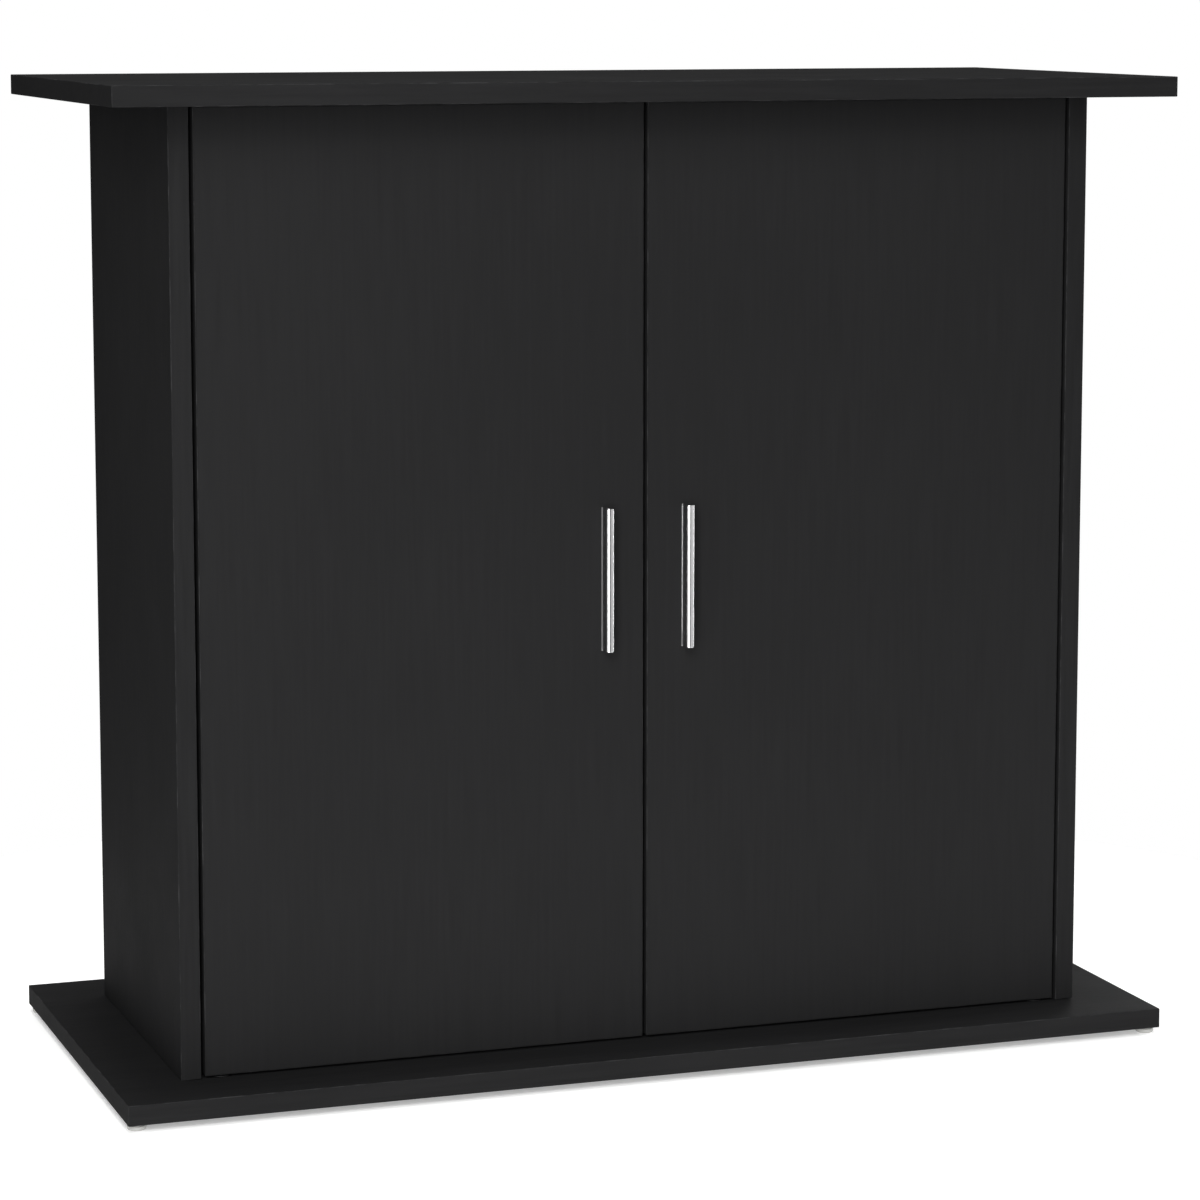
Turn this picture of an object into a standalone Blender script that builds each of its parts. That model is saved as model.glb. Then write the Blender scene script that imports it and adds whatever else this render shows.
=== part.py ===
"""Aquarium stand cabinet: two overhanging boards, an inset carcass and two flush doors.

Blender 4.5 script, metres, +Z up.  The origin is on the floor under the middle of the
cabinet, +X is to the right and the doors face -Y.  Every piece is an object of its own.
"""

import math

import bmesh
import bpy
from mathutils import Matrix, Vector

# ---------------------------------------------------------------- driving dimensions
TOP_WIDTH = 0.810            # both boards, matching the base of an 80 cm tank
TOP_DEPTH = 0.360
BOARD = 0.015                # thickness of every panel
CLEAR_HEIGHT = 0.700         # between the bottom board and the top board
INSET = 0.050                # the carcass stands in from the boards on all four sides
GLIDE_HEIGHT = 0.005
CONTACT = 0.0003             # gap kept between pieces that touch
DOOR_GAP = 0.003             # beside each door, and between the two
DOOR_GAP_BELOW = 0.002
DOOR_GAP_ABOVE = 0.0015
EDGE_ROUND = 0.0006          # rounding of the banded panel edges
ROUND_STEPS = 16             # facets round a turned piece or a drilled hole
SMALL_STEPS = 12             # the same for one under SMALL_RADIUS
SMALL_RADIUS = 0.0036

# Doors and their pivots
PIVOT_FROM_EDGE = 0.013      # pivot axis to the door's hinge edge
PIVOT_FROM_FACE = 0.0065     # pivot axis to the door's front face
PIVOT_PIN_RADIUS = 0.0025
PIVOT_PIN_IN_DOOR = 0.012
PIVOT_PIN_IN_BOARD = 0.009   # the lower pin stands on the bottom of its hole
BUSH_RADIUS = 0.0045
BUSH_DEPTH = 0.009
BUSH_FLANGE_RADIUS = 0.0060
BUSH_FLANGE = 0.0006         # thickness of the flange, which lies on the board

# Handles: a slim extruded bar, screwed on through the door
HANDLE_FROM_CENTRE = 0.0314
HANDLE_LENGTH = 0.1065
HANDLE_WIDTH = 0.0066
HANDLE_DEPTH = 0.0130
HANDLE_BASE = 0.0014         # thickness of the flange that lies on the door
HANDLE_WEB = 0.0052
HANDLE_HEAD = 0.0052         # depth of the wider front part
HANDLE_CORNER = 0.0028       # rounding of the front, almost half round
HANDLE_CORNER_STEPS = 6
HANDLE_HOLE_SPACING = 0.096
SCREW_RADIUS = 0.0015
SCREW_HEAD_RADIUS = 0.0038
SCREW_HEAD_HEIGHT = 0.0020
SCREW_IN_HANDLE = 0.0085

# Magnetic catches under the top board and their plates on the doors
CATCH_FROM_CENTRE = 0.036
CATCH_SIZE = (0.042, 0.015, 0.0145)
CATCH_HOLE_SPACING = 0.030
CATCH_HOLE_RADIUS = 0.0022
PLATE_SIZE = (0.036, 0.0012, 0.010)
PLATE_FROM_TOP = 0.0012      # plate to the door's upper edge
PLATE_EDGE_ROUND = 0.0002
PLATE_HOLE_SPACING = 0.024
PLATE_HOLE_RADIUS = 0.0016

# Shelves and their pins
SHELF_MIDDLE = 0.360         # height of the shelf's mid-plane above the floor
SHELF_SETBACK = 0.030        # behind the cabinet's front plane
SHELF_SIDE_GAP = 0.0012
SHELF_BACK_GAP = 0.003
SHELF_PIN_RADIUS = 0.0025
SHELF_PIN_DEPTH = 0.0062
SHELF_PIN_REACH = 0.009
SHELF_PIN_FRONT = -0.075     # y of the front and rear columns of pins
SHELF_PIN_REAR = 0.085
SHELF_HOLE_PITCH = 0.032
SHELF_HOLE_ROWS = (-1, 0, 1)

# Cam fittings that hold the side panels to the boards
CAM_RADIUS = 0.0075
CAM_DEPTH = 0.0124
CAM_FROM_END = 0.024
CAM_SLOT = (0.0022, 0.0088, 0.0014)
CAM_Y = (-0.085, 0.085)
BOLT_IN_BOARD = 0.010
BOLT_TURNS = 3               # ridges that stand for the thread
BOLT_COLLAR = 0.0016
BOLT_THREAD_RADIUS = 0.0030
BOLT_THREAD_DEPTH = 0.0006
BOLT_SHANK_RADIUS = 0.0025
BOLT_HEAD_RADIUS = 0.0034
BOLT_HEAD_LENGTH = 0.003
BOLT_NECK_LENGTH = 0.001
BOLT_BORE_RADIUS = 0.0040

# Dowels in the divider
DOWEL_RADIUS = 0.004
DOWEL_IN_BOARD = 0.010
DOWEL_IN_DIVIDER = 0.018

# Ports for hoses and cables in the back panel
PORT_WIDTH = 0.110
PORT_HEIGHT = 0.060
PORT_FROM_CENTRE = 0.170
PORT_MIDDLE = 0.600
PORT_CORNER_STEPS = 6

# Nail-on glides
GLIDE_RADIUS = 0.0070
GLIDE_NAIL_RADIUS = 0.0010
GLIDE_NAIL_LENGTH = 0.009
GLIDE_NAIL_TIP = 0.002
GLIDE_UPPER_CHAMFER = 0.0008
GLIDE_FOOT_CHAMFER = 0.0018
GLIDE_FROM_SIDE = 0.008
GLIDE_FROM_FRONT = 0.010

# ---------------------------------------------------------------- derived positions
BOTTOM_LOW = GLIDE_HEIGHT
BOTTOM_HIGH = BOTTOM_LOW + BOARD
TOP_LOW = BOTTOM_HIGH + CLEAR_HEIGHT
TOP_HIGH = TOP_LOW + BOARD
HALF_WIDTH = TOP_WIDTH / 2
HALF_DEPTH = TOP_DEPTH / 2
SIDE_OUTER = HALF_WIDTH - INSET
SIDE_INNER = SIDE_OUTER - BOARD
SIDE_MIDDLE = (SIDE_OUTER + SIDE_INNER) / 2
FRONT = -HALF_DEPTH + INSET
REAR = HALF_DEPTH - INSET
DOOR_BACK = FRONT + BOARD
BACK_PANEL_FRONT = REAR - BOARD
DOOR_LOW = BOTTOM_HIGH + DOOR_GAP_BELOW
DOOR_HIGH = TOP_LOW - DOOR_GAP_ABOVE
DOOR_MIDDLE = (DOOR_LOW + DOOR_HIGH) / 2
DOOR_OUTER = SIDE_INNER - DOOR_GAP
DOOR_INNER = DOOR_GAP / 2
PIVOT_X = DOOR_OUTER - PIVOT_FROM_EDGE
PIVOT_Y = FRONT + PIVOT_FROM_FACE
OVERSHOOT = 0.001            # how far a cutter runs past the face that it cuts

SIDES = {"left": -1, "right": 1}
ENDS = {"bottom": -1, "top": 1}

MATERIALS = {
    # name: (colour, roughness, metallic)
    "black_melamine": ((0.022, 0.022, 0.024), 0.55, 0.0),
    "door_melamine": ((0.024, 0.024, 0.026), 0.45, 0.0),
    "chrome": ((0.80, 0.80, 0.82), 0.10, 1.0),
    "zinc_steel": ((0.62, 0.63, 0.65), 0.35, 1.0),
    "white_plastic": ((0.80, 0.80, 0.78), 0.40, 0.0),
    "black_plastic": ((0.030, 0.030, 0.032), 0.50, 0.0),
    "beech": ((0.62, 0.43, 0.25), 0.70, 0.0),
}


# ---------------------------------------------------------------- scene and helpers
def clear_scene():
    for item in list(bpy.data.objects):
        bpy.data.objects.remove(item, do_unlink=True)


def new_collection(name):
    collection = bpy.data.collections.new(name)
    bpy.context.scene.collection.children.link(collection)
    return collection


def piece_material(name, recipe):
    """A Principled material for one piece, from one of the MATERIALS recipes."""
    colour, roughness, metallic = MATERIALS[recipe]
    material = bpy.data.materials.new(name + "_" + recipe)
    material.use_nodes = True
    shader = material.node_tree.nodes["Principled BSDF"]
    shader.inputs["Base Color"].default_value = (*colour, 1.0)
    shader.inputs["Roughness"].default_value = roughness
    shader.inputs["Metallic"].default_value = metallic
    return material


def add_piece(name, mesh, recipe, location=(0, 0, 0), pivot=None):
    """Link a mesh as a piece of the cabinet, riding on a door's pivot if one is given."""
    piece = bpy.data.objects.new(name, mesh)
    mesh.materials.append(piece_material(name, recipe))
    PARTS.objects.link(piece)
    piece.location = location
    if pivot is not None:
        piece.parent = pivot
        piece.location = Vector(location) - pivot.location
    return piece


def mesh_from(name, build):
    """A mesh filled by build(bm)."""
    bm = bmesh.new()
    build(bm)
    mesh = bpy.data.meshes.new(name)
    bm.to_mesh(mesh)
    bm.free()
    return mesh


def round_edges(piece, width=EDGE_ROUND, segments=2):
    bevel = piece.modifiers.new("edges", "BEVEL")
    bevel.width = width
    bevel.segments = segments
    bevel.limit_method = "ANGLE"
    bevel.angle_limit = math.radians(40)


def panel(name, low, high, recipe="black_melamine", pivot=None):
    """A board with rounded edges, between two opposite corners."""
    low = Vector(low)
    high = Vector(high)
    scale = Matrix.Diagonal((*(high - low), 1.0))
    mesh = mesh_from(name, lambda bm: bmesh.ops.create_cube(bm, size=1.0, matrix=scale))
    piece = add_piece(name, mesh, recipe, (low + high) / 2, pivot)
    round_edges(piece)
    return piece


def round_steps(radius):
    return SMALL_STEPS if radius < SMALL_RADIUS else ROUND_STEPS


def turned(name, profile, recipe, location, axis=(0, 0, 1), closed=False, pivot=None):
    """A turned piece.  The profile is (radius, height) pairs, top to bottom outside."""
    def outline(bm):
        points = [bm.verts.new((radius, 0.0, height)) for radius, height in profile]
        for first, second in zip(points, points[1:]):
            bm.edges.new((first, second))
        if closed:
            bm.edges.new((points[-1], points[0]))

    piece = add_piece(name, mesh_from(name, outline), recipe, location, pivot)
    piece.rotation_mode = "QUATERNION"
    piece.rotation_quaternion = Vector((0, 0, 1)).rotation_difference(Vector(axis))
    screw = piece.modifiers.new("turn", "SCREW")
    screw.axis = "Z"
    steps = round_steps(max(radius for radius, height in profile))
    screw.steps = steps
    screw.render_steps = steps
    screw.use_merge_vertices = True
    screw.merge_threshold = 0.00001
    screw.use_smooth_shade = True
    return piece


def drill(bm, mouth, into, radius, depth):
    """Add a drill-shaped cylinder: it starts past the mouth and runs depth along into."""
    into = Vector(into)
    length = depth + OVERSHOOT
    middle = Vector(mouth) + into * (depth - OVERSHOOT) / 2
    turn = Vector((0, 0, 1)).rotation_difference(into).to_matrix().to_4x4()
    bmesh.ops.create_cone(bm, cap_ends=True, segments=round_steps(radius), radius1=radius,
                          radius2=radius, depth=length,
                          matrix=Matrix.Translation(middle) @ turn)


def cut(piece, name, build):
    """Subtract from the piece what build(bm) makes, in world positions."""
    cutter = bpy.data.objects.new(name, mesh_from(name, build))
    CUTTERS.objects.link(cutter)
    cutter.hide_render = True
    cutter.display_type = "WIRE"
    boolean = piece.modifiers.new(name, "BOOLEAN")
    boolean.operation = "DIFFERENCE"
    boolean.solver = "EXACT"
    boolean.object = cutter


def cut_holes(piece, name, holes):
    """Drill a list of (mouth, direction, radius, depth) holes that don't meet."""
    def build(bm):
        for hole in holes:
            drill(bm, *hole)

    cut(piece, name, build)


def rounded_outline(width, height, radius, steps):
    """Corner arcs of a rounded rectangle, anticlockwise, as (x, y) pairs."""
    points = []
    for quarter, (sx, sy) in enumerate(((1, 1), (-1, 1), (-1, -1), (1, -1))):
        centre_x = sx * (width / 2 - radius)
        centre_y = sy * (height / 2 - radius)
        for step in range(steps + 1):
            angle = math.radians(90 * (quarter + step / steps))
            points.append((centre_x + radius * math.cos(angle),
                           centre_y + radius * math.sin(angle)))
    return points


# ---------------------------------------------------------------- boards
def glide_places():
    """Name and (x, y) of each glide: four corners and two under the divider."""
    x = HALF_WIDTH - GLIDE_FROM_SIDE
    y = HALF_DEPTH - GLIDE_FROM_FRONT
    return {
        "front_left_glide": (-x, -y),
        "front_right_glide": (x, -y),
        "rear_left_glide": (-x, y),
        "rear_right_glide": (x, y),
        "front_middle_glide": (0.0, -y / 2),
        "rear_middle_glide": (0.0, y / 2),
    }


def board_holes(end):
    """Holes in the inner face of a board: cam bolts, dowel and pivot bushes."""
    face = BOTTOM_HIGH if end < 0 else TOP_LOW
    into = (0, 0, end)
    holes = [((0, 0, face), into, DOWEL_RADIUS + CONTACT, DOWEL_IN_BOARD + CONTACT)]
    for side in SIDES.values():
        holes.append(((side * PIVOT_X, PIVOT_Y, face), into,
                      BUSH_RADIUS + CONTACT, BUSH_DEPTH + CONTACT))
        for y in CAM_Y:
            holes.append(((side * SIDE_MIDDLE, y, face), into,
                          BOLT_THREAD_RADIUS + CONTACT, BOLT_IN_BOARD + CONTACT))
    return holes


def make_boards():
    bottom = panel("bottom_panel", (-HALF_WIDTH, -HALF_DEPTH, BOTTOM_LOW),
                   (HALF_WIDTH, HALF_DEPTH, BOTTOM_HIGH))
    nails = [((x, y, BOTTOM_LOW), (0, 0, 1), GLIDE_NAIL_RADIUS + CONTACT,
              GLIDE_NAIL_LENGTH + CONTACT) for x, y in glide_places().values()]
    cut_holes(bottom, "bottom_panel_holes", board_holes(-1) + nails)
    top = panel("top_panel", (-HALF_WIDTH, -HALF_DEPTH, TOP_LOW),
                (HALF_WIDTH, HALF_DEPTH, TOP_HIGH))
    cut_holes(top, "top_panel_holes", board_holes(1))


def make_glides():
    """White plastic discs with a nail, flat underneath."""
    nail_top = GLIDE_HEIGHT + GLIDE_NAIL_LENGTH
    shoulder = GLIDE_HEIGHT - CONTACT
    foot = GLIDE_FOOT_CHAMFER
    profile = [(0, nail_top), (GLIDE_NAIL_RADIUS, nail_top - GLIDE_NAIL_TIP),
               (GLIDE_NAIL_RADIUS, shoulder), (GLIDE_RADIUS - GLIDE_UPPER_CHAMFER, shoulder),
               (GLIDE_RADIUS, shoulder - GLIDE_UPPER_CHAMFER), (GLIDE_RADIUS, foot),
               (GLIDE_RADIUS - foot / 3, foot / 3), (GLIDE_RADIUS - foot, 0), (0, 0)]
    for name, (x, y) in glide_places().items():
        turned(name, profile, "white_plastic", (x, y, 0))


# ---------------------------------------------------------------- carcass panels
def shelf_pin_holes(face_x, into):
    """Two columns of pin holes in a vertical panel's face."""
    holes = []
    for y in (SHELF_PIN_FRONT, SHELF_PIN_REAR):
        for row in SHELF_HOLE_ROWS:
            z = pin_height() + row * SHELF_HOLE_PITCH
            holes.append(((face_x, y, z), (into, 0, 0), SHELF_PIN_RADIUS + CONTACT,
                          SHELF_PIN_DEPTH + CONTACT))
    return holes


def pin_height():
    return SHELF_MIDDLE - BOARD / 2 - CONTACT - SHELF_PIN_RADIUS


def make_side_panel(name, side):
    outer = side * SIDE_OUTER
    inner = side * SIDE_INNER
    low = BOTTOM_HIGH + CONTACT
    high = TOP_LOW - CONTACT
    piece = panel(name + "_side_panel", (min(outer, inner), FRONT, low),
                  (max(outer, inner), REAR, high))
    cams = [((inner, y, height), (side, 0, 0), CAM_RADIUS + CONTACT, CAM_DEPTH + CONTACT)
            for y in CAM_Y for height in (low + CAM_FROM_END, high - CAM_FROM_END)]
    cut_holes(piece, name + "_side_cam_bores", cams + shelf_pin_holes(inner, side))
    bolts = [((side * SIDE_MIDDLE, y, end_z), (0, 0, into), BOLT_BORE_RADIUS, CAM_FROM_END)
             for y in CAM_Y for end_z, into in ((low, 1), (high, -1))]
    cut_holes(piece, name + "_side_bolt_bores", bolts)


def make_back_panel():
    """The back, with a rounded port in each half for hoses and cables."""
    half = SIDE_INNER - CONTACT
    piece = panel("back_panel", (-half, BACK_PANEL_FRONT, BOTTOM_HIGH + CONTACT),
                  (half, REAR, TOP_LOW - CONTACT))

    def ports(bm):
        outline = rounded_outline(PORT_WIDTH, PORT_HEIGHT, PORT_HEIGHT / 2 - CONTACT,
                                  PORT_CORNER_STEPS)
        for side in SIDES.values():
            front = [bm.verts.new((side * PORT_FROM_CENTRE + x,
                                   BACK_PANEL_FRONT - OVERSHOOT, PORT_MIDDLE + z))
                     for x, z in outline]
            face = bm.faces.new(front)
            extruded = bmesh.ops.extrude_face_region(bm, geom=[face])["geom"]
            moved = [item for item in extruded if isinstance(item, bmesh.types.BMVert)]
            bmesh.ops.translate(bm, verts=moved, vec=(0, BOARD + 2 * OVERSHOOT, 0))
        bmesh.ops.recalc_face_normals(bm, faces=bm.faces)

    cut(piece, "back_panel_ports", ports)


def make_divider():
    """The upright in the middle, which carries the top board and stops the doors."""
    half = BOARD / 2
    low = BOTTOM_HIGH + CONTACT
    high = TOP_LOW - CONTACT
    piece = panel("centre_divider", (-half, DOOR_BACK + CONTACT, low),
                  (half, BACK_PANEL_FRONT - CONTACT, high))
    holes = shelf_pin_holes(-half, 1) + shelf_pin_holes(half, -1)
    for end_z, into in ((low, 1), (high, -1)):
        holes.append(((0, 0, end_z), (0, 0, into), DOWEL_RADIUS + CONTACT,
                      DOWEL_IN_DIVIDER + CONTACT))
    cut_holes(piece, "divider_holes", holes)


def make_dowels():
    chamfer = 0.001
    length = DOWEL_IN_BOARD + DOWEL_IN_DIVIDER
    profile = [(0, length), (DOWEL_RADIUS - chamfer, length),
               (DOWEL_RADIUS, length - chamfer), (DOWEL_RADIUS, chamfer),
               (DOWEL_RADIUS - chamfer, 0), (0, 0)]
    turned("divider_bottom_dowel", profile, "beech", (0, 0, BOTTOM_HIGH - DOWEL_IN_BOARD))
    turned("divider_top_dowel", profile, "beech", (0, 0, TOP_LOW - DOWEL_IN_DIVIDER))


def make_shelf(name, side):
    inner = side * (BOARD / 2 + SHELF_SIDE_GAP)
    outer = side * (SIDE_INNER - SHELF_SIDE_GAP)
    panel(name + "_shelf",
          (min(inner, outer), FRONT + SHELF_SETBACK, SHELF_MIDDLE - BOARD / 2),
          (max(inner, outer), BACK_PANEL_FRONT - SHELF_BACK_GAP, SHELF_MIDDLE + BOARD / 2))


def make_shelf_pins(name, side):
    """Four steel pins: one half plugs into a panel, the shelf lies on the other."""
    tip = 0.0006
    profile = [(0, SHELF_PIN_REACH), (SHELF_PIN_RADIUS - tip, SHELF_PIN_REACH),
               (SHELF_PIN_RADIUS, SHELF_PIN_REACH - tip),
               (SHELF_PIN_RADIUS, tip - SHELF_PIN_DEPTH),
               (SHELF_PIN_RADIUS - tip, -SHELF_PIN_DEPTH), (0, -SHELF_PIN_DEPTH)]
    for column, y in (("front", SHELF_PIN_FRONT), ("rear", SHELF_PIN_REAR)):
        turned("%s_shelf_%s_outer_pin" % (name, column), profile, "zinc_steel",
               (side * SIDE_INNER, y, pin_height()), (-side, 0, 0))
        turned("%s_shelf_%s_inner_pin" % (name, column), profile, "zinc_steel",
               (side * BOARD / 2, y, pin_height()), (side, 0, 0))


# ---------------------------------------------------------------- cam fittings
def make_cam(name, side, y, z, toward_bolt):
    """Cam housing in the side panel, with a mouth for the bolt and a driver slot."""
    face = side * SIDE_INNER
    chamfer = 0.0004
    profile = [(0, 0), (CAM_RADIUS - chamfer, 0), (CAM_RADIUS, -chamfer),
               (CAM_RADIUS, chamfer - CAM_DEPTH), (CAM_RADIUS - chamfer, -CAM_DEPTH),
               (0, -CAM_DEPTH)]
    piece = turned(name, profile, "zinc_steel", (face, y, z), (-side, 0, 0))
    mouth = (side * SIDE_MIDDLE, y, z + toward_bolt * CAM_RADIUS)
    reach = CAM_RADIUS + BOLT_HEAD_RADIUS

    def build(bm):
        drill(bm, mouth, (0, 0, -toward_bolt), BOLT_BORE_RADIUS, reach)
        place = Matrix.Translation((face, y, z)) @ Matrix.Diagonal((*CAM_SLOT, 1.0))
        bmesh.ops.create_cube(bm, size=1.0, matrix=place)

    cut(piece, name + "_cuts", build)


def make_cam_bolt(name, side, y, face_z, into_panel):
    """Bolt screwed into a board, its head caught in the cam."""
    head_end = CAM_FROM_END + BOLT_HEAD_RADIUS
    head_low = head_end - BOLT_HEAD_LENGTH
    neck = head_low - BOLT_NECK_LENGTH
    core = BOLT_THREAD_RADIUS - BOLT_THREAD_DEPTH
    profile = [(0, head_end), (BOLT_HEAD_RADIUS, head_end), (BOLT_HEAD_RADIUS, head_low),
               (BOLT_SHANK_RADIUS, neck), (BOLT_SHANK_RADIUS, BOLT_COLLAR),
               (BOLT_HEAD_RADIUS, BOLT_COLLAR), (BOLT_HEAD_RADIUS, CONTACT),
               (core, CONTACT)]
    pitch = BOLT_IN_BOARD / (BOLT_TURNS + 1)
    for turn in range(BOLT_TURNS):
        ridge = -pitch * (turn + 0.5)
        profile += [(BOLT_THREAD_RADIUS, ridge), (core, ridge - pitch / 2)]
    profile.append((0, -BOLT_IN_BOARD))
    turned(name, profile, "zinc_steel", (side * SIDE_MIDDLE, y, face_z),
           (0, 0, into_panel))


def make_cam_fittings(side_name, side):
    for end_name, end in ENDS.items():
        face_z = BOTTOM_HIGH if end < 0 else TOP_LOW
        cam_z = face_z - end * (CAM_FROM_END + CONTACT)
        for depth_name, y in zip(("front", "rear"), CAM_Y):
            place = "_".join((side_name, end_name, depth_name))
            make_cam(place + "_cam", side, y, cam_z, end)
            make_cam_bolt(place + "_cam_bolt", side, y, face_z, -end)


# ---------------------------------------------------------------- doors
def door_pivot(name, side):
    """An empty on the door's hinge axis, the parent of all that swings with it."""
    pivot = bpy.data.objects.new(name + "_door_pivot", None)
    PARTS.objects.link(pivot)
    pivot.location = (side * PIVOT_X, PIVOT_Y, DOOR_MIDDLE)
    return pivot


def handle_screw_heights():
    return (DOOR_MIDDLE - HANDLE_HOLE_SPACING / 2, DOOR_MIDDLE + HANDLE_HOLE_SPACING / 2)


def make_door(name, side, pivot):
    outer = side * DOOR_OUTER
    inner = side * DOOR_INNER
    piece = panel(name + "_door", (min(outer, inner), FRONT, DOOR_LOW),
                  (max(outer, inner), DOOR_BACK, DOOR_HIGH), "door_melamine", pivot)
    pin = PIVOT_PIN_RADIUS + CONTACT
    depth = PIVOT_PIN_IN_DOOR + CONTACT
    holes = [((side * PIVOT_X, PIVOT_Y, DOOR_LOW), (0, 0, 1), pin, depth),
             ((side * PIVOT_X, PIVOT_Y, DOOR_HIGH), (0, 0, -1), pin, depth)]
    for z in handle_screw_heights():
        holes.append(((side * HANDLE_FROM_CENTRE, DOOR_BACK, z), (0, -1, 0),
                      SCREW_RADIUS + CONTACT, BOARD + OVERSHOOT))
    cut_holes(piece, name + "_door_holes", holes)


def make_pivots(name, side, pivot):
    """Steel pins held in the door, turning in flanged bushes in the two boards."""
    tip = 0.0005
    bore = PIVOT_PIN_RADIUS + CONTACT
    flange_low = CONTACT
    flange_high = CONTACT + BUSH_FLANGE
    bush = [(bore, flange_high), (BUSH_FLANGE_RADIUS, flange_high),
            (BUSH_FLANGE_RADIUS, flange_low), (BUSH_RADIUS, flange_low),
            (BUSH_RADIUS, -BUSH_DEPTH), (bore, -BUSH_DEPTH)]
    for end_name, end in ENDS.items():
        face_z = BOTTOM_HIGH if end < 0 else TOP_LOW
        door_z = DOOR_LOW if end < 0 else DOOR_HIGH
        pin_length = PIVOT_PIN_IN_BOARD + abs(door_z - face_z) + PIVOT_PIN_IN_DOOR
        pin = [(0, pin_length), (PIVOT_PIN_RADIUS - tip, pin_length),
               (PIVOT_PIN_RADIUS, pin_length - tip), (PIVOT_PIN_RADIUS, tip),
               (PIVOT_PIN_RADIUS - tip, 0), (0, 0)]
        place = name + "_door_" + end_name
        turned(place + "_pivot_bush", bush, "black_plastic",
               (side * PIVOT_X, PIVOT_Y, face_z), (0, 0, -end), closed=True)
        pin_start = face_z + end * PIVOT_PIN_IN_BOARD
        turned(place + "_pivot_pin", pin, "zinc_steel",
               (side * PIVOT_X, PIVOT_Y, pin_start), (0, 0, -end), pivot=pivot)


def handle_section():
    """Outline of the handle bar: a base flange, a narrower web and a rounded front."""
    half = HANDLE_WIDTH / 2
    web = HANDLE_WEB / 2
    head = -HANDLE_DEPTH + HANDLE_HEAD
    right = [(half, 0.0), (half, -HANDLE_BASE), (web, -HANDLE_BASE - (half - web)),
             (web, head + (half - web)), (half, head)]
    for step in range(HANDLE_CORNER_STEPS + 1):
        angle = math.radians(90 * step / HANDLE_CORNER_STEPS)
        right.append((half - HANDLE_CORNER * (1 - math.cos(angle)),
                      -HANDLE_DEPTH + HANDLE_CORNER * (1 - math.sin(angle))))
    left = [(-x, y) for x, y in reversed(right)]
    return right + left


def make_handle(name, side, pivot):
    """An extruded bar.  The outline is a flat curve, made a mesh to take the holes."""
    curve = bpy.data.curves.new(name + "_handle_outline", "CURVE")
    curve.dimensions = "2D"
    curve.fill_mode = "BOTH"
    curve.extrude = HANDLE_LENGTH / 2
    outline = handle_section()
    spline = curve.splines.new("POLY")
    spline.points.add(len(outline) - 1)
    for point, (x, y) in zip(spline.points, outline):
        point.co = (x, y, 0.0, 1.0)
    spline.use_cyclic_u = True
    draft = bpy.data.objects.new(name + "_handle_draft", curve)
    PARTS.objects.link(draft)
    evaluated = draft.evaluated_get(bpy.context.evaluated_depsgraph_get())
    mesh = bpy.data.meshes.new_from_object(evaluated)
    bpy.data.objects.remove(draft, do_unlink=True)
    mesh.materials.clear()
    bm = bmesh.new()
    bm.from_mesh(mesh)
    bmesh.ops.remove_doubles(bm, verts=bm.verts, dist=0.00001)
    bmesh.ops.recalc_face_normals(bm, faces=bm.faces)
    bm.to_mesh(mesh)
    bm.free()
    x = side * HANDLE_FROM_CENTRE
    piece = add_piece(name + "_handle", mesh, "chrome", (x, FRONT - CONTACT, DOOR_MIDDLE),
                      pivot)
    piece.data.shade_smooth()
    piece.data.set_sharp_from_angle(angle=math.radians(35))
    holes = [((x, FRONT - CONTACT, z), (0, -1, 0), SCREW_RADIUS + CONTACT,
              SCREW_IN_HANDLE + CONTACT) for z in handle_screw_heights()]
    cut_holes(piece, name + "_handle_holes", holes)


def make_handle_screws(name, side, pivot):
    """Pan-head screws from inside the door; the head's face is at height zero."""
    reach = BOARD + CONTACT + SCREW_IN_HANDLE
    head = SCREW_HEAD_HEIGHT
    profile = [(0, head), (SCREW_HEAD_RADIUS * 0.55, head),
               (SCREW_HEAD_RADIUS * 0.90, head * 0.65), (SCREW_HEAD_RADIUS, head * 0.25),
               (SCREW_HEAD_RADIUS, CONTACT), (SCREW_RADIUS, CONTACT),
               (SCREW_RADIUS, 0.0005 - reach), (SCREW_RADIUS - 0.0005, -reach),
               (0, -reach)]
    for label, z in zip(("lower", "upper"), handle_screw_heights()):
        turned("%s_handle_%s_screw" % (name, label), profile, "zinc_steel",
               (side * HANDLE_FROM_CENTRE, DOOR_BACK, z), (0, 1, 0), pivot=pivot)


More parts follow.
